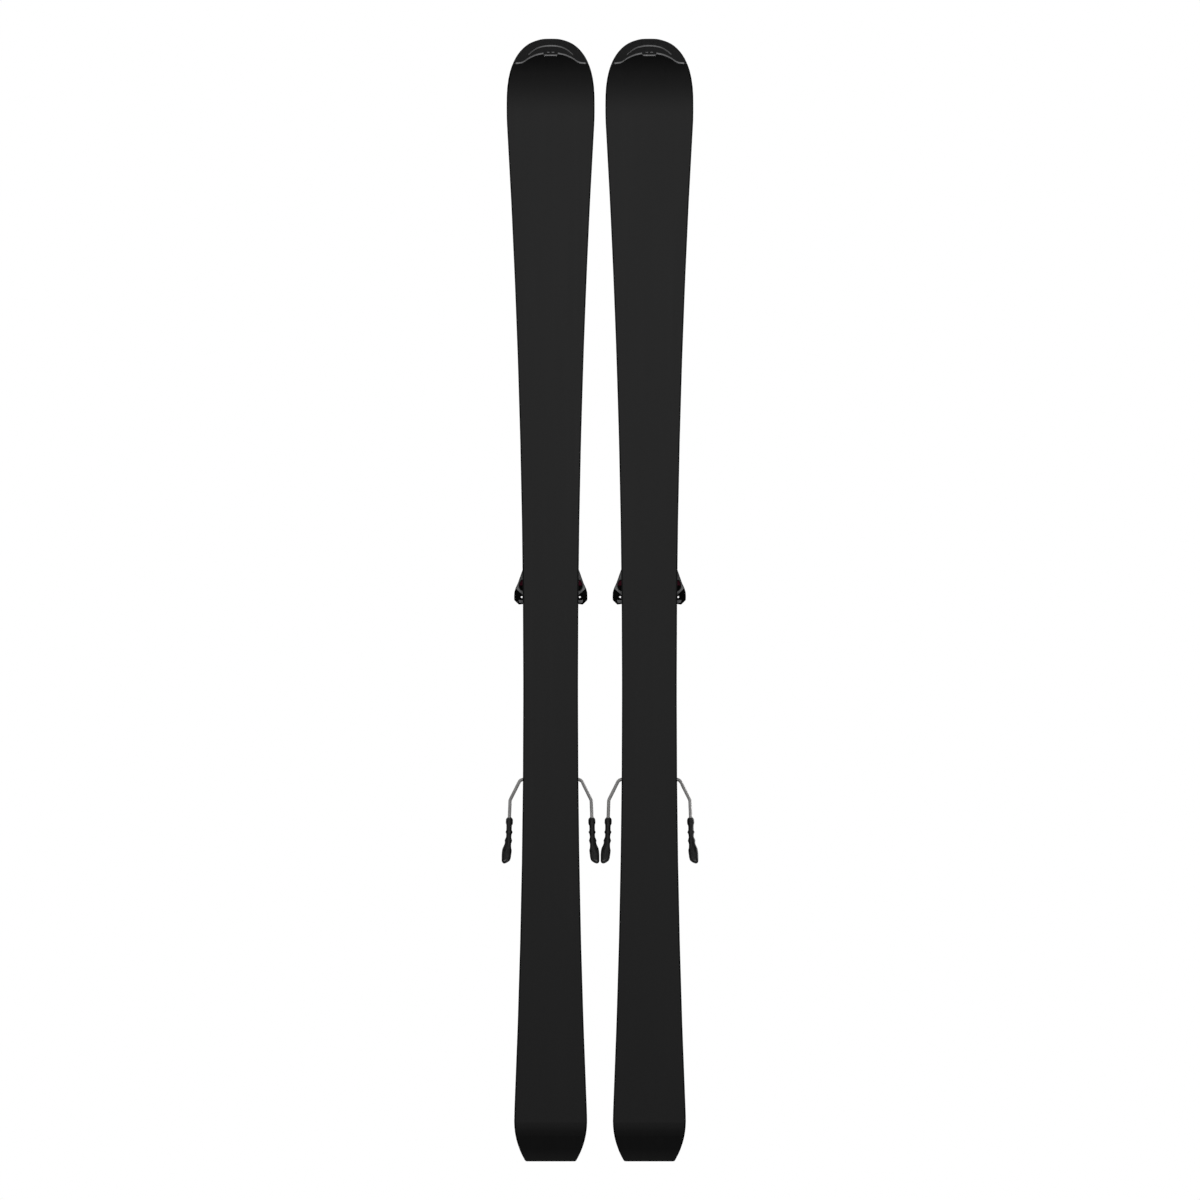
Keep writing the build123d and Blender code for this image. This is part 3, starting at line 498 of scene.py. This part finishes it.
def add_plate(edit, place, outline, low, high, hand=1, chamfer=0.2):
    """Adds a chamfered plate, in millimetres. Place turns its u, v and height into a point."""
    middle = [sum(values) / len(outline) for values in zip(*outline)]

    def ring(height, inset):
        points = []
        for u, v in outline:
            reach = Vector((u - middle[0], v - middle[1]))
            reach.length = max(reach.length - inset, 0.1)
            point = place(middle[0] + reach.x, middle[1] + reach.y, height)
            points.append(Vector((hand * point.x, point.y, point.z)) * MM)
        return points

    add_rings(edit, [ring(low, chamfer), ring(low + chamfer, 0),
                     ring(high - chamfer, 0), ring(high, chamfer)])


def add_rings(edit, rings):
    """Skins a list of rings of points, each with the same count, and caps the ends."""
    made = [[edit.verts.new(point) for point in ring] for ring in rings]
    count = len(rings[0])
    for first, second in zip(made, made[1:]):
        for k in range(count):
            j = (k + 1) % count
            edit.faces.new((first[k], first[j], second[j], second[k]))
    edit.faces.new(made[0][::-1])
    edit.faces.new(made[-1])


def tube_rings(points, radius, count):
    """Circles square to a path of points, turned as little as possible from one to the next."""
    rings = []
    side = None
    for n, point in enumerate(points):
        ahead = (points[min(n + 1, len(points) - 1)] - points[max(n - 1, 0)]).normalized()
        if side is None:
            side = ahead.orthogonal().normalized()
        side = (side - ahead * side.dot(ahead)).normalized()
        other = ahead.cross(side)
        turns = [tau * k / count for k in range(count)]
        rings.append([point + side * radius * cos(turn) + other * radius * sin(turn) for turn in turns])
    return rings


# ---------------------------------------------------------------- tip

def spline_points(points, steps):
    """Smooth curve through points, by Catmull-Rom pieces."""
    padded = [points[0] * 2 - points[1], *points, points[-1] * 2 - points[-2]]
    curve = []
    for n in range(1, len(padded) - 2):
        before, start, end, after = padded[n - 1:n + 3]
        for k in range(steps):
            t = k / steps
            curve.append(0.5 * (2 * start + (end - before) * t
                                + (2 * before - 5 * start + 4 * end - after) * t ** 2
                                + (3 * start - before - 3 * end + after) * t ** 3))
    return curve + [padded[-2]]


def ledge(edit, line, width, proud):
    """A low step along a line on the tip's underside, whose face lies level."""
    rings = []
    for x, y in line:
        low = base_height(y) - proud
        behind = base_height(y + width) + proud
        rings.append([Vector((x, y, low + 2 * proud)), Vector((x, y, low)),
                      Vector((x, y + width, low)), Vector((x, y + width, behind))])
    add_rings(edit, rings)


SPLINE_STEPS = 5
RIM_WIDTH, TAB_WIDTH, TAB_SIDE_WIDTH, RIM_PROUD = 2.1 * MM, 1.6 * MM, 1.4 * MM, 0.15 * MM
RIDGE_WIDTH, MARK_WIDTH, RIDGE_PROUD = 1.9 * MM, 0.9 * MM, 0.1 * MM


def tip_rim(side):
    """Raised rim of the tip cap along its seam, with the square tab in the middle, painted pale grey as
    a painted highlight.
    """
    half = [(49.6, 762.9), (41.8, 763.8), (37.2, 765.9), (30.8, 770.4), (20.8, 775.0), (10.4, 777.4)]
    side_line = spline_points([Vector(point) * MM for point in half], SPLINE_STEPS)
    tab, tab_side = (-8.8, -3, 3, 8.8), ((10.4, 777.4), (8.9, 774.8))
    edit = bmesh.new()
    for hand in (-1, 1):
        ledge(edit, [(hand * point.x, point.y) for point in side_line], RIM_WIDTH, RIM_PROUD)
    ledge(edit, [(x * MM, 774.8 * MM) for x in tab], TAB_WIDTH, RIM_PROUD)
    for hand in (-1, 1):
        ledge(edit, [(hand * x * MM, y * MM) for x, y in tab_side], TAB_SIDE_WIDTH, RIM_PROUD)
    shift(edit, ski_origin(side))
    return finish_piece(edit, f"{side}_tip_rim", f"{side}_ski", "cap_plastic", PAINTED_RIM_HIGHLIGHT)


def tip_ridge(side):
    """Moulded ridge across the underside of the tip cap, and two small marks in its tab, painted pale
    grey as a painted highlight.
    """
    half = [(0, 788.6), (8, 788.1), (17.1, 785.9), (24.4, 781.8), (31.7, 775.6)]
    mirrored = [(-x, y) for x, y in half[:0:-1]]
    line = spline_points([Vector(point) * MM for point in mirrored + half], SPLINE_STEPS)
    edit = bmesh.new()
    ledge(edit, [(point.x, point.y) for point in line], RIDGE_WIDTH, RIDGE_PROUD)
    for hand in (-1, 1):
        ledge(edit, [(hand * x * MM, 779.6 * MM) for x in (1.6, 5.2)], MARK_WIDTH, RIDGE_PROUD)
    shift(edit, ski_origin(side))
    return finish_piece(edit, f"{side}_tip_ridge", f"{side}_ski", "cap_plastic", PAINTED_RIDGE_HIGHLIGHT)


# ---------------------------------------------------------------- plates and marks

def level(u, v, height):
    """A plate that lies flat: u is X and v is Y."""
    return Vector((u, v, height))


def slope(y, z, angle):
    """Plates on a sloping face: v runs forward from (y, z) and height stands off the face."""
    c, s = cos(radians(angle)), sin(radians(angle))
    return lambda u, v, height: Vector((u, y + v * c - height * s, z + v * s + height * c))


def flank(u, v, height):
    """Plates on a side face: u is Y and v is Z."""
    return Vector((height, u, v))


def bars(u0, u1, starts, width):
    """Outlines of a row of equal bars."""
    return [[(u0, v), (u1, v), (u1, v + width), (u0, v + width)] for v in starts]


HEEL_SLOPE = slope(-375, 77, 16.1)
LEVER_SLOPE = slope(-338, 70, -30)
DETAIL_CHAMFER = 0.15
DETAILS = {  # body, material slot, trim, place, bottom and top height, outlines
    "toe_cover": ("ski", "housing_plastic", "gloss", level, 67.4, 69.0,
                  [[(-20, 33), (20, 33), (20.5, 35), (17, 55), (15.5, 56.5), (-15.5, 56.5), (-17, 55),
                    (-20.5, 35)]]),
    "toe_stripe": ("ski", "housing_plastic", "accent", level, 68.6, 69.4,
                   [[(-15.5, 38), (15.5, 38), (14.5, 43), (-14.5, 43)]]),
    "toe_scale": ("ski", "housing_plastic", "white", level, 67.7, 68.3,
                  bars(4.4, 8.2, (64, 66.5, 69, 71.5, 74), 0.8)),
    "heel_window": ("heel_housing", "housing_plastic", "gloss", HEEL_SLOPE, -1.0, 0.7,
                    [[(-5, 6), (5, 6), (6.5, 8), (6.5, 38), (5, 40), (-5, 40), (-6.5, 38), (-6.5, 8)]]),
    "heel_indicator": ("heel_housing", "housing_plastic", "yellow", HEEL_SLOPE, 0.3, 1.0,
                       bars(-4.8, 4.8, (22,), 1.8)),
    "heel_scale": ("heel_housing", "housing_plastic", "white", HEEL_SLOPE, -0.5, 0.3,
                   bars(8.4, 12.6, (9, 13.5, 18, 22.5, 27, 31.5, 36), 1.0)),
    "heel_stripe": ("heel_housing", "housing_plastic", "accent", HEEL_SLOPE, -1.0, 0.6,
                    [[(16.5, 4), (21.5, 4), (21.5, 42), (18.5, 42)]]),
    "cup_stripe": ("heel_housing", "cup_plastic", "accent", flank, 32.0, 33.5,
                   [[(-299, 59), (-279, 59), (-278, 64), (-299, 66)]]),
    "lever_grip": ("heel_lever", "lever_plastic", None, LEVER_SLOPE, 2.0, 5.6,
                   bars(13.5, 27.5, range(-92, -54, 6), 1.8)),
    "rail_scale": ("ski", "rail_plastic", "white", level, 21.2, 21.58,
                   bars(22.4, 26.0, range(-172, -102, 10), 0.9)),
    "rail_half_scale": ("ski", "rail_plastic", "white", level, 21.2, 21.58,
                        bars(24.2, 26.0, range(-167, -107, 10), 0.9)),
}


def detail(side, name):
    """A group of plates or marks. Those off the centre line are there on both hands."""
    body, slot, trim, place, low, high, outlines = DETAILS[name]
    material = TRIMS[trim] if trim else None
    edit = bmesh.new()
    for outline in outlines:
        centred = min(place(u, v, low).x for u, v in outline) < 0
        for hand in (1,) if centred else (-1, 1):
            add_plate(edit, place, outline, low, high, hand, DETAIL_CHAMFER)
    shift(edit, ski_origin(side))
    return finish_piece(edit, f"{side}_{name}", f"{side}_{body}", slot, material)


# ---------------------------------------------------------------- toe wings

WING_INLAYS = {  # trim, bottom and top height and (x, y) outline of each inlay in a wing
    "pocket_front": ("red", 50.4, 52.6, [(38.7, 27.3), (42.1, 27.3), (44.45, 22.4), (44.6, 20.2),
                                         (38.7, 20.2)]),
    "pocket_rear": ("black", 50.4, 52.6, [(38.7, 20.2), (44.6, 20.2), (44.7, 18.5), (43.5, 15.0),
                                          (40.5, 12.8), (38.7, 13.0)]),
    # painted highlight: a pale plate on the underside at the wing's rear edge, standing for a glint
    # there
    "wear_pad": ("pale", 46.0, 48.0, [(38.6, -0.9), (46.0, -0.5), (45.2, -4.2), (44.0, -4.8),
                                      (38.8, -4.4)]),
    "top_stripe": ("accent", 67.6, 68.4, [(35.4, 50.4), (37.4, 45.0), (44.6, 23.6), (47.4, 16.0),
                                          (44.6, 14.2), (41.2, 21.5), (34.2, 41.0), (33.0, 49.4)]),
}


def wing_inlay(side, hand, inlay):
    """One of the small plates let into a wing."""
    name = "left" if hand < 0 else "right"
    trim, low, high, points = WING_INLAYS[inlay]
    edit = bmesh.new()
    add_plate(edit, level, points, low, high, hand)
    shift(edit, ski_origin(side))
    return finish_piece(edit, f"{side}_wing_{name}_{inlay}", f"{side}_toe_wing_{name}",
                        "wing_plastic", TRIMS[trim])


# ---------------------------------------------------------------- brake feet and springs

FOOT_STATIONS = [  # distance down the arm, inner x, outer x, half thickness
    (68.9, 55.4, 61.8, 1.7), (70.0, 54.5, 62.8, 2.1), (71.4, 53.8, 63.4, 2.8),
    (73.0, 53.6, 63.6, 3.8), (77.5, 53.6, 63.8, 4.2), (79.6, 54.0, 63.2, 4.1),
    (81.4, 55.0, 62.9, 3.7), (86.0, 55.2, 62.9, 3.6), (90.2, 55.2, 63.0, 3.6),
    (91.8, 54.8, 63.4, 3.9), (93.4, 54.0, 64.1, 4.2), (95.0, 54.7, 63.4, 3.9),
    (97.3, 55.4, 63.0, 3.6), (102.5, 55.8, 63.3, 3.5), (105.1, 55.3, 64.4, 3.8),
    (108.1, 54.6, 65.3, 4.2), (110.4, 55.3, 64.9, 3.9), (113.8, 56.0, 65.3, 3.8),
    (118.1, 56.0, 66.8, 3.9), (121.6, 55.7, 68.2, 4.0), (124.2, 55.1, 68.7, 4.1),
    (127.7, 55.3, 69.1, 4.1), (132.9, 55.9, 69.4, 4.0), (137.2, 56.4, 69.4, 3.9),
    (140.7, 57.3, 69.4, 3.8), (142.4, 58.6, 69.4, 3.6), (143.9, 60.6, 69.1, 3.3),
    (145.0, 62.4, 68.6, 2.8), (145.9, 64.4, 67.2, 1.9),
]
FOOT_QUARTER = [  # a quarter of the grip's section, as shares of half width and half thickness
    (1.0, 0.0), (0.985, 0.2), (0.93, 0.42), (0.8, 0.68), (0.64, 0.87), (0.46, 0.97), (0.32, 1.0),
    (0.16, 1.0), (0.0, 1.0),
]
DISH_START, DISH_LENGTH, DISH_DEPTH, DISH_REACH = 117.0, 24.0, 1.8, 0.66
COIL_STEPS, COIL_SIDES = 24, 10  # steps in a turn and sides of the wire
COIL_EASE = 0.035  # how much closer the end turns lie


def brake_feet(side):
    """The two moulded feet: a collared grip on the wire and a spade with a dished underside."""
    down = Vector((0, -cos(ARM_DROP), -sin(ARM_DROP)))
    out = Vector((0, -sin(ARM_DROP), cos(ARM_DROP)))
    upper = FOOT_QUARTER + [(-x, z) for x, z in FOOT_QUARTER[-2::-1]]
    section = upper + [(x, -z) for x, z in upper[-2:0:-1]]
    edit = bmesh.new()
    for hand in (-1, 1):
        rings = []
        for distance, inner, outer, thick in FOOT_STATIONS:
            centre, half = (inner + outer) / 2, (outer - inner) / 2
            share = min(max((distance - DISH_START) / DISH_LENGTH, 0), 1)
            dish = DISH_DEPTH * sin(pi * share)
            ring = []
            for across, height in section:
                z = thick * height
                if height < 0:
                    z += dish * max(1 - (across / DISH_REACH) ** 2, 0)
                x = hand * (centre + half * across)
                ring.append(BRAKE_PIVOT + (Vector((x, 0, 0)) + down * distance + out * z) * MM)
            rings.append(ring)
        add_rings(edit, rings)
    shift(edit, ski_origin(side))
    return finish_piece(edit, f"{side}_brake_feet_moulded", f"{side}_brake_arms", "foot_plastic",
                        replaces=[f"{side}_brake_feet"], angle=radians(45))


def coil(side, node, body, turns, wire):
    """A coil spring as long and as wide as the CAD sleeve it replaces."""
    low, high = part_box(f"{side}_{node}")
    middle = (low + high) / 2
    radius = (high.x - low.x) / 2 - wire
    length = high.y - low.y - 2 * wire
    steps = turns * COIL_STEPS
    points = []
    for n in range(steps + 1):
        share = n / steps
        eased = share - COIL_EASE * sin(tau * share)
        angle = tau * turns * share
        points.append(Vector((middle.x + radius * cos(angle), low.y + wire + length * eased,
                              middle.z + radius * sin(angle))))
    edit = bmesh.new()
    add_rings(edit, tube_rings(points, wire, COIL_SIDES))
    return finish_piece(edit, f"{side}_{node}_coil", f"{side}_{body}", "spring_steel",
                        replaces=[f"{side}_{node}"], angle=radians(60))


# ---------------------------------------------------------------- build

PLAIN_NODES = {
    "base_sheet": "running_base", "steel_edges": "edge_steel", "lower_laminate": "laminate",
    "wood_core": "core_wood", "sidewalls": "sidewall_plastic", "upper_laminate": "laminate",
    "topsheet": "topsheet_plastic", "rail_screws": "fastener_steel", "wing_pins": "fastener_steel",
    "heel_pins": "fastener_steel", "toe_setting_screw": "fastener_steel",
    "heel_setting_screw": "fastener_steel", "toe_setting_pointer": "pointer_plastic",
    "brake_arms": "spring_steel", "binding_rail": "rail_plastic",
}
MOULDED = {  # node: material slot, voxel in millimetres, body where it isn't the node's own
    "tip_cap": ("cap_plastic", 0.7, "ski"),
    "toe_body": ("housing_plastic", 0.8, "ski"),
    "toe_wing_left": ("wing_plastic", 0.6, None),
    "toe_wing_right": ("wing_plastic", 0.6, None),
    "afd_slide_plate": ("slide_plastic", 0.5, None),
    "heel_carriage": ("rail_plastic", 0.8, None),
    "length_lock_lever": ("accent_plastic", 0.35, None),
    "heel_housing": ("housing_plastic", 0.8, None),
    "heel_cup": ("cup_plastic", 0.7, "heel_housing"),
    "heel_lever": ("lever_plastic", 0.6, None),
    "brake_base": ("rail_plastic", 0.7, "heel_carriage"),
    "brake_pedal": ("pedal_plastic", 0.5, None),
}

for node, (slot, voxel, body) in MOULDED.items():
    moulded_pair(node, slot, voxel * MM, body)

for side in SIDES:
    for node, slot in PLAIN_NODES.items():
        shown = frame["nodes"][f"{side}_{node}"]
        shown.data.materials.clear()
        shown.data.materials.append(MATERIALS[slot])
    tip_rim(side)
    tip_ridge(side)
    for hand in (-1, 1):
        for inlay in WING_INLAYS:
            wing_inlay(side, hand, inlay)
    for name in DETAILS:
        detail(side, name)
    brake_feet(side)
    coil(side, "toe_spring", "ski", 6, 1.4 * MM)
    coil(side, "heel_spring", "heel_housing", 7, 2.0 * MM)


# ---------------------------------------------------------------- floor, light and camera

def floor():
    """A pale floor at Z = 0, seen only from above, so that it hides nothing from below."""
    bpy.ops.mesh.primitive_plane_add(size=60, location=(0, 0, 0))
    plane = bpy.context.object
    plane.name = "floor"
    material = bpy.data.materials.new("floor")
    material.use_nodes = True
    tree = material.node_tree
    shader = tree.nodes["Principled BSDF"]
    shader.inputs["Base Color"].default_value = (0.78, 0.78, 0.77, 1)
    shader.inputs["Roughness"].default_value = 0.7
    clear = tree.nodes.new("ShaderNodeBsdfTransparent")
    side_of = tree.nodes.new("ShaderNodeNewGeometry")
    mix = tree.nodes.new("ShaderNodeMixShader")
    tree.links.new(side_of.outputs["Backfacing"], mix.inputs[0])
    tree.links.new(shader.outputs[0], mix.inputs[1])
    tree.links.new(clear.outputs[0], mix.inputs[2])
    tree.links.new(mix.outputs[0], tree.nodes["Material Output"].inputs["Surface"])
    plane.data.materials.append(material)
    plane.visible_diffuse = False
    plane.visible_glossy = False
    plane.visible_transmission = False
    plane.visible_shadow = False


def world(below, above):
    """White to the camera. As light, its strength goes from one value below to another above."""
    made = bpy.data.worlds.new("studio")
    bpy.context.scene.world = made
    made.use_nodes = True
    tree = made.node_tree
    background = tree.nodes["Background"]
    background.inputs["Color"].default_value = (1, 1, 1, 1)
    direction = tree.nodes.new("ShaderNodeTexCoord")
    split = tree.nodes.new("ShaderNodeSeparateXYZ")
    sky = tree.nodes.new("ShaderNodeMapRange")
    sky.inputs["From Min"].default_value = -0.1
    sky.inputs["From Max"].default_value = 0.4
    sky.inputs["To Min"].default_value = below
    sky.inputs["To Max"].default_value = above
    path = tree.nodes.new("ShaderNodeLightPath")
    level = tree.nodes.new("ShaderNodeMapRange")
    level.inputs["To Max"].default_value = 1.0
    tree.links.new(direction.outputs["Generated"], split.inputs[0])
    tree.links.new(split.outputs["Z"], sky.inputs["Value"])
    tree.links.new(path.outputs["Is Camera Ray"], level.inputs["Value"])
    tree.links.new(sky.outputs[0], level.inputs["To Min"])
    tree.links.new(level.outputs[0], background.inputs["Strength"])


LIGHTS = [  # name, place, target, diameter and watts
    ("under", (0, 0.95, -4.8), (0, 0, 0), 1.6, 66),
    ("under_wide", (0, 1.0, -4.9), (0, 0, 0), 4.6, 50),
    ("under_tips", (0, 3.6, -0.95), (0, 0.5, 0.08), 1.0, 1.8),
    ("key", (1.8, -1.6, 2.6), (0, 0, 0.1), 1.8, 60),
    ("fill", (-2.4, 1.2, 2.2), (0, 0, 0.1), 2.2, 35),
]


def soft_light(name, place, target, size, watts):
    data = bpy.data.lights.new(name, "AREA")
    data.shape = "DISK"
    data.size = size
    data.energy = watts
    light = bpy.data.objects.new(name, data)
    light.location = place
    light.rotation_euler = (Vector(target) - Vector(place)).to_track_quat("-Z", "Y").to_euler()
    light.visible_camera = False
    bpy.context.scene.collection.objects.link(light)


CAMERA_LENS, CAMERA_CLIP = 400, 100
PICTURE_WIDTH, PICTURE_MIDDLE = 1.7076, -0.0006  # metres across the picture, and its middle along Y


def camera():
    """Straight below the pair, looking up, with the tips at the top of the picture."""
    data = bpy.data.cameras.new("camera")
    data.lens = CAMERA_LENS
    data.clip_end = CAMERA_CLIP
    distance = PICTURE_WIDTH * data.lens / data.sensor_width
    made = bpy.data.objects.new("camera", data)
    made.location = (0, PICTURE_MIDDLE, ski_origin("left").z - distance)
    made.rotation_euler = (0, pi, 0)
    bpy.context.scene.collection.objects.link(made)
    bpy.context.scene.camera = made


bpy.context.scene.view_settings.view_transform = "Standard"
floor()
world(below=0.03, above=0.45)
for light in LIGHTS:
    soft_light(*light)
camera()
